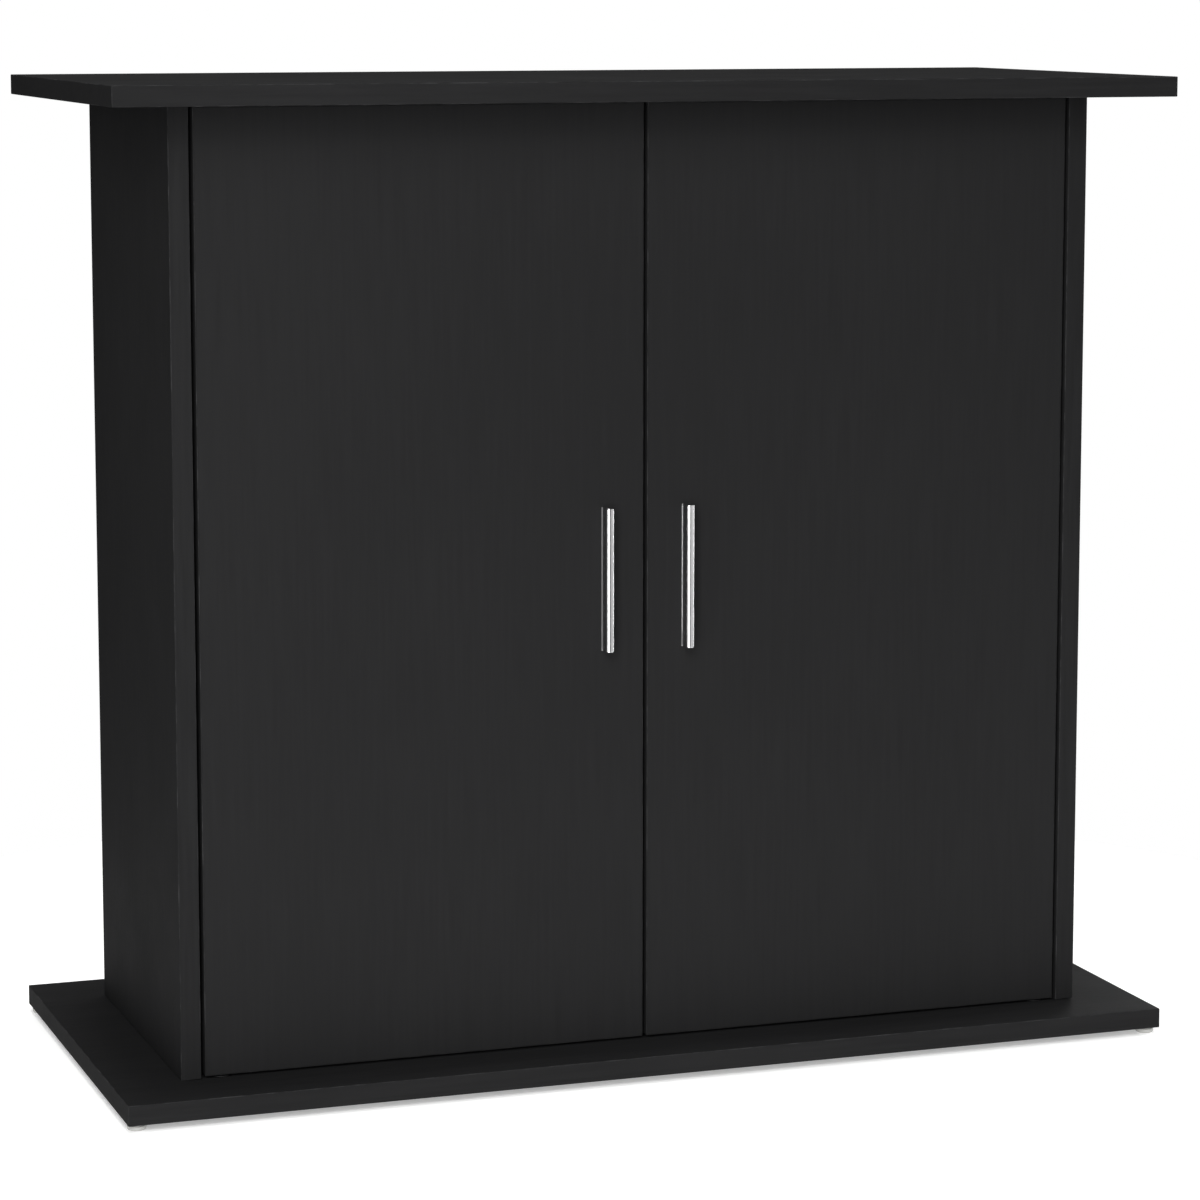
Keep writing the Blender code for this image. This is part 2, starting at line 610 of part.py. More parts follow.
def make_catch(name, side, pivot):
    """Magnetic catch under the top board, and the plate on the door that it holds."""
    x = side * CATCH_FROM_CENTRE
    plate_high = DOOR_HIGH - PLATE_FROM_TOP
    plate_low = plate_high - PLATE_SIZE[2]
    plate_back = DOOR_BACK + CONTACT + PLATE_SIZE[1]
    catch_front = plate_back + CONTACT
    half = CATCH_SIZE[0] / 2
    catch = panel(name + "_magnetic_catch", (x - half, catch_front, TOP_LOW - CATCH_SIZE[2]),
                  (x + half, catch_front + CATCH_SIZE[1], TOP_LOW - CONTACT),
                  "black_plastic")
    middle_y = catch_front + CATCH_SIZE[1] / 2
    spacing = CATCH_HOLE_SPACING / 2
    screw_holes = [((x + offset, middle_y, TOP_LOW - CATCH_SIZE[2]), (0, 0, 1),
                    CATCH_HOLE_RADIUS, CATCH_SIZE[2] + OVERSHOOT)
                   for offset in (-spacing, spacing)]
    cut_holes(catch, name + "_catch_holes", screw_holes)
    half = PLATE_SIZE[0] / 2
    plate = panel(name + "_strike_plate", (x - half, DOOR_BACK + CONTACT, plate_low),
                  (x + half, plate_back, plate_high), "zinc_steel", pivot)
    plate.modifiers["edges"].width = PLATE_EDGE_ROUND
    middle_z = (plate_low + plate_high) / 2
    spacing = PLATE_HOLE_SPACING / 2
    screw_holes = [((x + offset, plate_back, middle_z), (0, -1, 0), PLATE_HOLE_RADIUS,
                    PLATE_SIZE[1] + OVERSHOOT) for offset in (-spacing, spacing)]
    cut_holes(plate, name + "_plate_holes", screw_holes)


# ---------------------------------------------------------------- assembly
clear_scene()
PARTS = new_collection("aquarium_stand_cabinet")
CUTTERS = new_collection("cutters")

make_boards()
make_glides()
make_back_panel()
make_divider()
make_dowels()
for side_label, side_sign in SIDES.items():
    make_side_panel(side_label, side_sign)
    make_shelf(side_label, side_sign)
    make_shelf_pins(side_label, side_sign)
    make_cam_fittings(side_label, side_sign)
    door_axis = door_pivot(side_label, side_sign)
    make_door(side_label, side_sign, door_axis)
    make_pivots(side_label, side_sign, door_axis)
    make_handle(side_label, side_sign, door_axis)
    make_handle_screws(side_label, side_sign, door_axis)
    make_catch(side_label, side_sign, door_axis)
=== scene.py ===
"""Looks for the aquarium stand cabinet: materials, fine hardware, stage, lights, camera.

Metres, in the CAD frame: +X to the right, the doors face -Y, +Z up, the floor at z = 0.
"""

import math

import bmesh
import bpy
from mathutils import Matrix, Vector


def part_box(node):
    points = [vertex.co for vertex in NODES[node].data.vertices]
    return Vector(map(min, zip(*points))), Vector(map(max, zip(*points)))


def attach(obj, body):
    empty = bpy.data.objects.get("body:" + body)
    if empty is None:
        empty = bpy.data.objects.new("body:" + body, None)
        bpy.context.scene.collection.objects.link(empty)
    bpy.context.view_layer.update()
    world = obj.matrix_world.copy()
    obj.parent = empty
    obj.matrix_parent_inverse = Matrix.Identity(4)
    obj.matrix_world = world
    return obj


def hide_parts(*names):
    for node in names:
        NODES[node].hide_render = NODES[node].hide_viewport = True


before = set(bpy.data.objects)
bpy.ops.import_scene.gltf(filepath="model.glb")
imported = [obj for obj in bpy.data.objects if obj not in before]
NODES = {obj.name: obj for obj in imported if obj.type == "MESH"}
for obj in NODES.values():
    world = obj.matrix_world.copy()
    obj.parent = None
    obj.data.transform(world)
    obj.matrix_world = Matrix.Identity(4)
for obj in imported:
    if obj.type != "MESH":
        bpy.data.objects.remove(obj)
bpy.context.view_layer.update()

CARCASS = "carcass"
DOOR_BODY = {"left": "left_door_leaf", "right": "right_door_leaf"}
SIDES = ("left", "right")
ENDS = ("bottom", "top")
COLUMNS = ("front", "rear")
ACROSS = 0                   # axes that a board's grain can run along
UPRIGHT = 2

# Camera: where it stands, where it looks and how long its lens is
CAMERA_PLACE = (-0.980, -2.826, 0.802)
CAMERA_YAW = 19.31           # degrees to the right of straight ahead
CAMERA_PITCH = 7.68          # degrees below level
CAMERA_LENS = 117.9
CAMERA_SENSOR = 36.0
CAMERA_SHIFT_Y = -0.07
CAMERA_CLIP = (0.05, 200.0)

# Light
WORLD_SEEN = 1.0             # radiance of the white background
WORLD_LIGHT = 0.20           # radiance of the surroundings that light the cabinet
FLOOR_COLOUR = (0.86, 0.86, 0.855)
FLOOR_RADIUS = 0.80
FLOOR_STEPS = 128
FLOOR_GLOW = 0.34            # the floor is a light table: its own radiance
SUN_PLACE = (0.0, 0.0, 4.0)
SUN_STRENGTH = 1.2
SUN_ANGLE = 6.0              # degrees
# name: (place, target, width, height, watts)
SOFTBOXES = {
    "key": ((-1.30, -2.60, 0.80), (0.0, 0.0, 0.48), 1.4, 2.8, 78.0),
    "front_top": ((-1.00, -2.00, 2.10), (0.0, 0.0, 0.40), 1.6, 1.2, 31.0),
    "left_strip": ((-2.28, -1.45, 0.00), (0.0, 0.0, 0.00), 0.25, 3.0, 9.0),
    "right_fill": ((1.70, -2.30, 0.30), (0.0, 0.0, 0.30), 1.8, 2.6, 7.0),
    "right_side": ((2.80, 0.30, 0.60), (0.0, 0.0, 0.40), 1.4, 1.6, 45.0),
    "rear_low": ((2.10, 2.10, -0.15), (0.0, 0.0, 0.20), 1.6, 1.7, 75.0),
    "rear_top": ((0.90, 2.40, 3.40), (0.0, 0.0, 0.35), 2.0, 1.6, 22.0),
}

# Noises, as (cells per metre, detail, roughness)
STREAKS = (330.0, 4.0, 0.6)
PORES = (1500.0, 2.0, 0.5)
CLOUDS = (2.6, 3.0, 0.55)
HANDLING = (16.0, 4.0, 0.6)
SPECKS = (2600.0, 1.0, 0.5)
RUBBING = (55.0, 5.0, 0.7)
WAVES = (9.0, 2.0)
FIBRES = (900.0, 3.0, 0.7)
SCRATCHES = (5200.0, 3.0, 0.6)
SMUDGES = (70.0, 4.0, 0.6)

# Boards
BOARD_COLOUR = (0.0152, 0.0152, 0.0156)
DOOR_COLOUR = (0.0156, 0.0156, 0.0160)
BOARD_PRINT = (0.12, 0.72, 0.00005)   # contrast of the print, roughness, depth of press
DOOR_PRINT = (0.07, 0.68, 0.00003)
SEAM_COLOUR = (0.003, 0.003, 0.003)
RUBBED_COLOUR = (0.065, 0.065, 0.067)
BOARD_SHEEN = 0.015          # specular level of the melamine
STREAK_STRETCH = 0.035       # the print's streaks and pores are drawn out along the grain
PORE_STRETCH = 0.25
BAND = 0.0008                # thickness of the edge banding
BAND_SEAM = 0.00012
WORN_EDGE = 0.0009           # how far in from an edge it is rubbed
CUT_DEPTH = 0.0011           # deeper than this inside a board, a surface is a cut
WAVE_HEIGHT = 0.00010
CHIPS_PER_METRE = (420.0, 420.0, 900.0)
CHIP_DARK = (0.30, 0.19, 0.10)
CHIP_PALE = (0.62, 0.46, 0.29)
CHIP_GLUE = (0.20, 0.12, 0.065)
CHIP_RELIEF = 0.0006

# Metals
ZINC_SCRATCH = 0.0000015     # depth of the fine scratches in zinc plate
CHROME_SCRATCH = 0.0000004   # and in polished chrome
SCRATCH_STRETCH = 0.02

# Meshes: creases sharper than these angles, in degrees, stay sharp
BOARD_CREASE = 50.0
HANDLE_CREASE = 25.0
CREASE = 32.0
BEVEL_CREASE = 50.0
TURN_STEPS = 48              # facets round a large turned piece, a middling one and a small one
MIDDLE_STEPS = 40
SMALL_STEPS = 32
CONTACT = 0.0003             # gap kept between pieces that touch
RECESS_TAPER = 0.5           # width of a driver recess at its bottom, against its mouth
RECESS_OVER = 0.0004

# Handle bars
HANDLE_FLANGE = 0.0014       # thickness of the flange that lies on the door
HANDLE_HEAD = 0.0052         # depth of the wider front part
HANDLE_WEB_INSET = 0.0007    # the web is narrower than the rest by this, on each side
HANDLE_CROWN = 0.0028        # rounding of the front
HANDLE_CROWN_STEPS = 10
HANDLE_ARRIS = 0.0002        # chamfer of the section's other corners
HANDLE_END = 0.0005          # rounding of the two ends
HANDLE_END_STEP = 0.3        # where between end and side that rounding has its middle ring

# Glides
GLIDE_NAIL_RADIUS = 0.001
GLIDE_NAIL_TIP = 0.002
GLIDE_STEP = 0.0008          # the shoulder is narrower than the foot by this
GLIDE_SHOULDER = 0.0012      # height of the shoulder
GLIDE_ARRIS = 0.0001
GLIDE_ROUND = 0.0004
GLIDE_FOOT_ROUND = 0.0018
GLIDE_FOOT_STEPS = 8
GLIDE_HOLLOW = 0.0003        # depth of the hollow under the foot
GLIDE_HOLLOW_MOUTH = 0.45    # its radius at the mouth and inside, against the foot's
GLIDE_HOLLOW_FLOOR = 0.42

# Pins, cams and bushes
SHELF_PIN_ROUND = 0.0005
GROOVE_DEPTH = 0.00025
GROOVE_WIDTH = 0.0012
CAM_RIM = 0.0012             # width of the flat rim
CAM_DISH = 0.0004            # depth of the dished face
CAM_ROUND = 0.0005
CAM_CHAMFER = 0.0004
PIVOT_PIN_ROUND = 0.0004
BUSH_RADIUS = 0.0045
BUSH_BORE = 0.0028
BUSH_FLANGE = 0.0006
BUSH_ARRIS = 0.0002
BUSH_ROUND = 0.0003
BUSH_CHAMFER = (0.0005, 0.0006)       # across and along

# Screws; a driver recess is (span, slot width, depth)
PAN_RADIUS = 0.0038
PAN_HEIGHT = 0.0020
PAN_DOME = 0.0019
PAN_FLATNESS = 0.8
PAN_ANGLES = (40, 50, 60, 70, 78, 84)
PAN_CROWN = 0.0001           # fall of the almost flat middle of the head
SHANK_RADIUS = 0.0015
SHANK_TIP = 0.0008
PAN_RECESS = (0.0040, 0.0009, 0.0013)
CAM_RECESS = (0.0075, 0.0016, 0.0030)
CATCH_RECESS = (0.0034, 0.0008, 0.0010)
PLATE_RECESS = (0.0032, 0.0007, 0.0009)
# Outlines of the countersunk screws and their holes: (radius, height above the surface)
CATCH_SCREW = ((0, 0.0), (0.0022, -0.0001), (0.0029, -0.0006), (0.0029, -0.0012),
               (0.0014, -0.0022), (0.0014, -0.010), (0, -0.011))
CATCH_HOLE = ((0, 0.002), (0.0034, 0.002), (0.0034, -0.0020), (0.0018, -0.0030),
              (0.0018, -0.012), (0, -0.012))
PLATE_SCREW = ((0, -0.0001), (0.0026, -0.0001), (0.0015, -0.0011), (0.0013, -0.0020),
               (0.0013, -0.0090), (0, -0.0100))
PLATE_HOLE = ((0, 0.0006), (0.0034, 0.0006), (0.0030, 0.0), (0.0018, -0.0010),
              (0.0018, -0.0020), (0, -0.0020))

# Magnetic catches and strike plates
CATCH_POLE_REACH = 0.0010    # the pole plates stand out of the housing by this
CATCH_CORNER = 0.0030
CATCH_BEVEL = 0.0006
CATCH_SCREW_X = 0.015        # screws to the catch's middle
CATCH_SCREW_SUNK = 0.0006
CHANNEL_HALF = (0.0085, 0.0035)       # half the width and height of the poles' channel
CHANNEL_DEPTH = (0.0006, 0.0024)      # its ends, behind the poles' faces
POLE_HALF = (0.0075, 0.0006)
POLE_DEPTH = 0.0060
POLE_SPACING = 0.0024        # pole plates to the catch's middle
POLE_CORNER = 0.0010
PLATE_CORNER = 0.0022
PLATE_BEVEL = 0.0002
PLATE_BEVEL_STEPS = 2
PLATE_SCREW_X = 0.012


# ---------------------------------------------------------------- shader helpers
class Shader:
    """A material being built: short calls that add and link its nodes."""

    def __init__(self, name):
        self.material = bpy.data.materials.new(name)
        self.material.use_nodes = True
        self.tree = self.material.node_tree
        self.surface = self.tree.nodes["Principled BSDF"]

    def plug(self, socket, value):
        """Link another node's output to the socket, or set its value."""
        if isinstance(value, bpy.types.NodeSocket):
            self.tree.links.new(value, socket)
        elif value is not None:
            socket.default_value = value

    def node(self, kind, inputs=None, **settings):
        """A new node with its inputs plugged and its settings made."""
        node = self.tree.nodes.new("ShaderNode" + kind)
        for key, value in settings.items():
            setattr(node, key, value)
        for key, value in (inputs or {}).items():
            self.plug(node.inputs[key], value)
        return node

    def math(self, operation, *values):
        inputs = dict(enumerate(values))
        return self.node("Math", inputs, operation=operation).outputs[0]

    def vector(self, operation, *values):
        inputs = dict(enumerate(values))
        return self.node("VectorMath", inputs, operation=operation).outputs[0]

    def place(self, stretch=(1.0, 1.0, 1.0)):
        """The surface point in the CAD frame, in metres, stretched along each axis."""
        point = self.node("TexCoord").outputs["Object"]
        if tuple(stretch) == (1.0, 1.0, 1.0):
            return point
        return self.vector("MULTIPLY", point, stretch)

    def noise(self, point, scale, detail=2.0, roughness=0.5):
        inputs = {"Vector": point, "Scale": scale, "Detail": detail, "Roughness": roughness}
        return self.node("TexNoise", inputs).outputs["Fac"]

    def cells(self, point, scale, output="Distance", feature="F1"):
        inputs = {"Vector": point, "Scale": scale}
        return self.node("TexVoronoi", inputs, feature=feature).outputs[output]

    def spread(self, value, low, high, to_low=0.0, to_high=1.0, smooth=True):
        """Map low..high to to_low..to_high, clamped."""
        kind = "SMOOTHSTEP" if smooth else "LINEAR"
        inputs = {"Value": value, "From Min": low, "From Max": high,
                  "To Min": to_low, "To Max": to_high}
        return self.node("MapRange", inputs, interpolation_type=kind).outputs["Result"]

    def blend(self, factor, first, second, mode="MIX"):
        node = self.node("Mix", data_type="RGBA", blend_type=mode)
        self.plug(node.inputs["Factor"], factor)
        self.plug(node.inputs[6], first)
        self.plug(node.inputs[7], second)
        return node.outputs[2]

    def bump(self, height, distance, strength=1.0, normal=None):
        inputs = {"Height": height, "Distance": distance, "Strength": strength}
        node = self.node("Bump", inputs)
        self.plug(node.inputs["Normal"], normal)
        return node.outputs["Normal"]

    def finish(self, colour, roughness, normal, **fixed):
        """Plug the surface; fixed values go straight on its sockets, _ for a space."""
        self.plug(self.surface.inputs["Base Color"], colour)
        self.plug(self.surface.inputs["Roughness"], roughness)
        self.plug(self.surface.inputs["Normal"], normal)
        for key, value in fixed.items():
            self.surface.inputs[key.replace("_", " ")].default_value = value
        return self.material


def rgb(red, green, blue):
    return (red, green, blue, 1.0)


# ---------------------------------------------------------------- materials
def board_distances(shader, low, high):
    """How deep a point lies in its board: (least, middle, through the thickness)."""
    centre = (low + high) / 2
    half = (high - low) / 2
    from_centre = shader.vector("SUBTRACT", shader.place(), tuple(centre))
    depth = shader.vector("SUBTRACT", tuple(half), shader.vector("ABSOLUTE", from_centre))
    split = shader.node("SeparateXYZ", {"Vector": depth}).outputs
    sizes = list(high - low)
    thin = split[sizes.index(min(sizes))]
    x, y, z = split
    lesser = shader.math("MINIMUM", x, y)
    greater = shader.math("MAXIMUM", x, y)
    least = shader.math("MINIMUM", lesser, z)
    middle = shader.math("MAXIMUM", lesser, shader.math("MINIMUM", greater, z))
    return least, middle, thin


def chipboard(shader):
    """Colour and height of raw chipboard, as a cut or a drilled hole shows it."""
    point = shader.place()
    warp = shader.node("TexNoise", {"Vector": point, "Scale": 500.0}).outputs["Color"]
    fibre = shader.noise(shader.vector("ADD", point, warp), *FIBRES)
    chips = shader.cells(shader.vector("MULTIPLY", point, CHIPS_PER_METRE), 1.0, "Color")
    tone = shader.node("SeparateColor", {"Color": chips}).outputs[0]
    light = shader.blend(tone, rgb(*CHIP_DARK), rgb(*CHIP_PALE))
    glue = shader.spread(fibre, 0.35, 0.75, 0.0, 0.6)
    colour = shader.blend(glue, light, rgb(*CHIP_GLUE))
    return colour, shader.math("ADD", tone, fibre)


def print_grain(shader, grain):
    """Streaks and pores of the print, drawn out along the grain's axis."""
    stretch = [1.0, 1.0, 1.0]
    stretch[grain] = STREAK_STRETCH
    streaks = shader.noise(shader.place(stretch), *STREAKS)
    stretch[grain] = PORE_STRETCH
    return streaks, shader.noise(shader.place(stretch), *PORES)


def print_colour(shader, streaks, colour, contrast):
    """The print's faint streaks and clouds on black."""
    dark = rgb(*((1 - contrast) * value for value in colour))
    pale = rgb(*((1 + contrast) * value for value in colour))
    clouds = shader.noise(shader.place(), *CLOUDS)
    tone = shader.math("ADD", shader.math("MULTIPLY", streaks, 0.55),
                       shader.math("MULTIPLY", clouds, 0.45))
    return shader.blend(shader.spread(tone, 0.34, 0.66), dark, pale)


def banding_seam(shader, middle, thin):
    """On the broad faces a fine seam shows the banding's thickness along each edge."""
    broad = shader.spread(thin, 0.0002, 0.0004, 1.0, 0.0)
    from_seam = shader.math("ABSOLUTE", shader.math("SUBTRACT", middle, BAND))
    line = shader.spread(from_seam, BAND_SEAM * 0.4, BAND_SEAM, 1.0, 0.0)
    return shader.math("MULTIPLY", broad, line)


def edge_wear(shader, middle):
    """The very edge is rubbed, unevenly."""
    edge = shader.spread(middle, 0.0001, WORN_EDGE, 1.0, 0.0)
    uneven = shader.spread(shader.noise(shader.place(), *RUBBING), 0.42, 0.68)
    return shader.math("MULTIPLY", edge, uneven)


def board_roughness(shader, roughness, pores, wear, cut):
    handling = shader.noise(shader.place(), *HANDLING)
    rough = shader.math("ADD", roughness,
                        shader.spread(handling, 0.35, 0.70, -0.035, 0.045, False))
    rough = shader.math("ADD", rough, shader.spread(pores, 0.3, 0.7, -0.03, 0.03, False))
    rough = shader.math("SUBTRACT", rough, shader.math("MULTIPLY", wear, 0.12))
    return shader.math("MAXIMUM", rough, shader.math("MULTIPLY", cut, 0.92))


def board_normal(shader, press, streaks, pores, seam, cut, core_height):
    """Pressed texture on the faces, and rugged chipboard where the board is cut."""
    specks = shader.noise(shader.place(), *SPECKS)
    texture = shader.math("ADD", shader.math("MULTIPLY", pores, 0.6),
                          shader.math("MULTIPLY", specks, 0.4))
    texture = shader.math("SUBTRACT", texture, shader.math("MULTIPLY", seam, 0.9))
    fine = shader.bump(texture, press)
    fine = shader.bump(streaks, press * 1.5, 0.6, fine)
    wavy = shader.bump(shader.noise(shader.place(), *WAVES), WAVE_HEIGHT, 0.5, fine)
    rugged = shader.bump(core_height, CHIP_RELIEF, 1.0)
    normal = shader.node("Mix", data_type="VECTOR")
    shader.plug(normal.inputs["Factor"], cut)
    shader.plug(normal.inputs[4], wavy)
    shader.plug(normal.inputs[5], rugged)
    return normal.outputs[1]


def melamine(node_name, grain, colour, contrast, roughness, press):
    """Black melamine on chipboard, with banded edges; grain is the axis it runs along."""
    shader = Shader(node_name + "_melamine")
    least, middle, thin = board_distances(shader, *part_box(node_name))
    streaks, pores = print_grain(shader, grain)
    seam = banding_seam(shader, middle, thin)
    wear = edge_wear(shader, middle)
    cut = shader.spread(least, CUT_DEPTH * 0.85, CUT_DEPTH)
    core_colour, core_height = chipboard(shader)

    skin = print_colour(shader, streaks, colour, contrast)
    skin = shader.blend(shader.math("MULTIPLY", seam, 0.55), skin, rgb(*SEAM_COLOUR))
    skin = shader.blend(shader.math("MULTIPLY", wear, 0.45), skin, rgb(*RUBBED_COLOUR))
    base = shader.blend(cut, skin, core_colour)
    rough = board_roughness(shader, roughness, pores, wear, cut)
    normal = board_normal(shader, press, streaks, pores, seam, cut, core_height)
    return shader.finish(base, rough, normal, Specular_IOR_Level=BOARD_SHEEN)


def metal(name, colour, roughness, brushed, scratch_depth, scratch_axis=ACROSS, mottle=0.0):
    """Plated metal: fine scratches along one axis, smudges, and zinc's faint mottling."""
    shader = Shader(name)
    stretch = [1.0, 1.0, 1.0]
    stretch[scratch_axis] = SCRATCH_STRETCH
    scratches = shader.noise(shader.place(stretch), *SCRATCHES)
    smudges = shader.noise(shader.place(), *SMUDGES)
    flakes = shader.cells(shader.place(), 900.0, "Color")
    flake = shader.node("SeparateColor", {"Color": flakes}).outputs[0]
    dark = rgb(*(value * (1.0 - mottle) for value in colour))
    base = shader.blend(flake, dark, rgb(*colour))
    base = shader.blend(shader.spread(smudges, 0.45, 0.75, 0.0, 0.12), base,
                        rgb(*(value * 0.85 for value in colour)))
    rough = shader.math("ADD", roughness, shader.spread(smudges, 0.35, 0.7, 0.0, 0.06, False))
    rough = shader.math("ADD", rough, shader.spread(scratches, 0.4, 0.7, 0.0, brushed, False))
    normal = shader.bump(scratches, scratch_depth, 0.5)
    return shader.finish(base, rough, normal, Metallic=1.0)


def moulded(name, colour, roughness, sheen, fine=0.00003):
    """Injection-moulded plastic: fine spark texture, slow tone change, rubbed spots."""
    shader = Shader(name)
    spark = shader.noise(shader.place(), 2600.0, 2.0, 0.6)
    flow = shader.noise(shader.place(), 60.0, 3.0, 0.5)
    rubbed = shader.spread(shader.noise(shader.place(), 140.0, 4.0, 0.65), 0.52, 0.72)
    dark = rgb(*(value * 0.90 for value in colour))
    base = shader.blend(shader.spread(flow, 0.35, 0.65), dark, rgb(*colour))
    rough = shader.math("ADD", roughness, shader.spread(spark, 0.3, 0.7, -0.04, 0.05, False))
    rough = shader.math("SUBTRACT", rough, shader.math("MULTIPLY", rubbed, 0.08))
    return shader.finish(base, rough, shader.bump(spark, fine, 0.8), Specular_IOR_Level=sheen)


def beech(name):
    """Turned beech with its grain along Z and the short dark rays of the wood."""
    shader = Shader(name)
    grain = shader.noise(shader.place((1.0, 1.0, 0.06)), 900.0, 4.0, 0.6)
    rays = shader.spread(shader.noise(shader.place((1.0, 1.0, 0.22)), 2600.0, 1.0), 0.60, 0.72)
    base = shader.blend(shader.spread(grain, 0.35, 0.65), rgb(0.50, 0.33, 0.18),
                        rgb(0.68, 0.49, 0.30))
    base = shader.blend(shader.math("MULTIPLY", rays, 0.5), base, rgb(0.30, 0.17, 0.09))
    rough = shader.spread(grain, 0.3, 0.7, 0.55, 0.75, False)
    return shader.finish(base, rough, shader.bump(grain, 0.00005))


def floor_material():
    """Seamless pale studio floor: a sheet of matt paper with a trace of tone."""
    shader = Shader("studio_floor")
    fibre = shader.noise(shader.place(), 900.0, 2.0, 0.5)
    broad = shader.noise(shader.place(), 0.8, 2.0, 0.5)
    pale = rgb(*FLOOR_COLOUR)
    base = shader.blend(shader.spread(broad, 0.35, 0.65, 0.0, 0.03), pale,
                        rgb(*(value * 0.97 for value in FLOOR_COLOUR)))
    rough = shader.spread(fibre, 0.3, 0.7, 0.88, 0.94, False)
    return shader.finish(base, rough, shader.bump(fibre, 0.00003), Specular_IOR_Level=0.1,
                         Emission_Color=rgb(1.0, 1.0, 1.0), Emission_Strength=FLOOR_GLOW)


# ---------------------------------------------------------------- mesh helpers
def dress(node_name, material):
    """Give a CAD node its material and leave its shape alone."""
    node = NODES[node_name]
    node.data.materials.clear()
    node.data.materials.append(material)
    node.data.shade_smooth()
    node.data.set_sharp_from_angle(angle=math.radians(BOARD_CREASE))
    hold_flats(node)


def hold_flats(piece):
    """Keep flat faces flat in the shading, next to rounded edges."""
    weighted = piece.modifiers.new("flat_faces", "WEIGHTED_NORMAL")
    weighted.keep_sharp = True
    weighted.weight = 100


def stand_in(name, mesh, material, body, slot, *nodes):
    """A finer piece riding on a body, in place of any CAD nodes that it replaces."""
    piece = bpy.data.objects.new(name, mesh)
    bpy.context.scene.collection.objects.link(piece)
    mesh.materials.clear()
    mesh.materials.append(material)
    hold_flats(piece)
    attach(piece, body)
    if nodes:
        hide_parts(*nodes)
    return piece


def mesh_of(name, bm, sharp=CREASE):
    """A smooth-shaded mesh whose creases stay sharp."""
    bmesh.ops.recalc_face_normals(bm, faces=bm.faces)
    mesh = bpy.data.meshes.new(name)
    bm.to_mesh(mesh)
    bm.free()
    mesh.shade_smooth()
    mesh.set_sharp_from_angle(angle=math.radians(sharp))
    return mesh


def aim(place, axis):
    """The matrix that puts a shape made along +Z at a place, along an axis."""
    turn = Vector((0, 0, 1)).rotation_difference(Vector(axis)).to_matrix().to_4x4()
    return Matrix.Translation(Vector(place)) @ turn


def join_rings(bm, lower, upper):
    """Faces between two rings that have the same number of points."""
    for index in range(len(lower)):
        after = (index + 1) % len(lower)
        bm.faces.new((lower[index], lower[after], upper[after], upper[index]))


def add_turned(bm, profile, place=(0, 0, 0), axis=(0, 0, 1), closed=False,
               steps=TURN_STEPS):
    """Turn a (radius, height) profile round its axis into bm, closed or between poles."""
    matrix = aim(place, axis)
    rings = []
    for radius, height in profile:
        if radius <= 0.0:
            rings.append([bm.verts.new(matrix @ Vector((0.0, 0.0, height)))])
            continue
        ring = []
        for step in range(steps):
            angle = 2 * math.pi * step / steps
            point = Vector((radius * math.cos(angle), radius * math.sin(angle), height))
            ring.append(bm.verts.new(matrix @ point))
        rings.append(ring)
    pairs = list(zip(rings, rings[1:]))
    if closed:
        pairs.append((rings[-1], rings[0]))
    for upper, lower in pairs:
        for step in range(steps):
            after = (step + 1) % steps
            if len(upper) == 1:
                corners = (upper[0], lower[step], lower[after])
            elif len(lower) == 1:
                corners = (upper[step], lower[0], upper[after])
            else:
                corners = (upper[step], lower[step], lower[after], upper[after])
            bm.faces.new(corners)


def fillet(radius, height, size, quarter, steps=5):
    """Rounded corner of a profile that runs downward: its top one or its bottom one."""
    points = []
    for step in range(steps + 1):
        turn = math.radians(90 * step / steps)
        if quarter == "top":
            points.append((radius - size * (1 - math.sin(turn)),
                           height - size * (1 - math.cos(turn))))
        else:
            points.append((radius - size * (1 - math.cos(turn)),
                           height + size * (1 - math.sin(turn))))
    return points


def carve(mesh, tool):
    """The mesh with the tool's mesh cut out of it."""
    piece = bpy.data.objects.new("carve_piece", mesh)
    cutter = bpy.data.objects.new("carve_tool", tool)
    for item in (piece, cutter):
        bpy.context.scene.collection.objects.link(item)
    boolean = piece.modifiers.new("cut", "BOOLEAN")
    boolean.operation = "DIFFERENCE"
    boolean.solver = "EXACT"
    boolean.object = cutter
    evaluated = piece.evaluated_get(bpy.context.evaluated_depsgraph_get())
    carved = bpy.data.meshes.new_from_object(evaluated)
    for item in (piece, cutter):
        bpy.data.objects.remove(item, do_unlink=True)
    carved.shade_smooth()
    carved.set_sharp_from_angle(angle=math.radians(CREASE))
    return carved


def cross_recess(name, place, axis, span, width, depth):
    """A tapered cross for a screwdriver, sunk depth into a face; axis points out of it."""
    half = width / 2
    rings = []
    bm = bmesh.new()
    for reach, height in ((span / 2, RECESS_OVER), (span * RECESS_TAPER / 2, -depth)):
        quarter = [(reach, -half), (reach, half), (half, half)]
        ring = []
        for turn in range(4):
            spin = Matrix.Rotation(math.radians(90 * turn + 45), 4, "Z")
            ring += [bm.verts.new(aim(place, axis) @ spin @ Vector((x, y, height)))
                     for x, y in quarter]
        rings.append(ring)
    upper, lower = rings
    join_rings(bm, lower, upper)
    bm.faces.new(upper)
    bm.faces.new(list(reversed(lower)))
    bmesh.ops.recalc_face_normals(bm, faces=bm.faces)
    mesh = bpy.data.meshes.new(name)
    bm.to_mesh(mesh)
    bm.free()
    return mesh


def middle_of(node_name):
    """The middle of a CAD node's box."""
    low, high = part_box(node_name)
    return (low + high) / 2


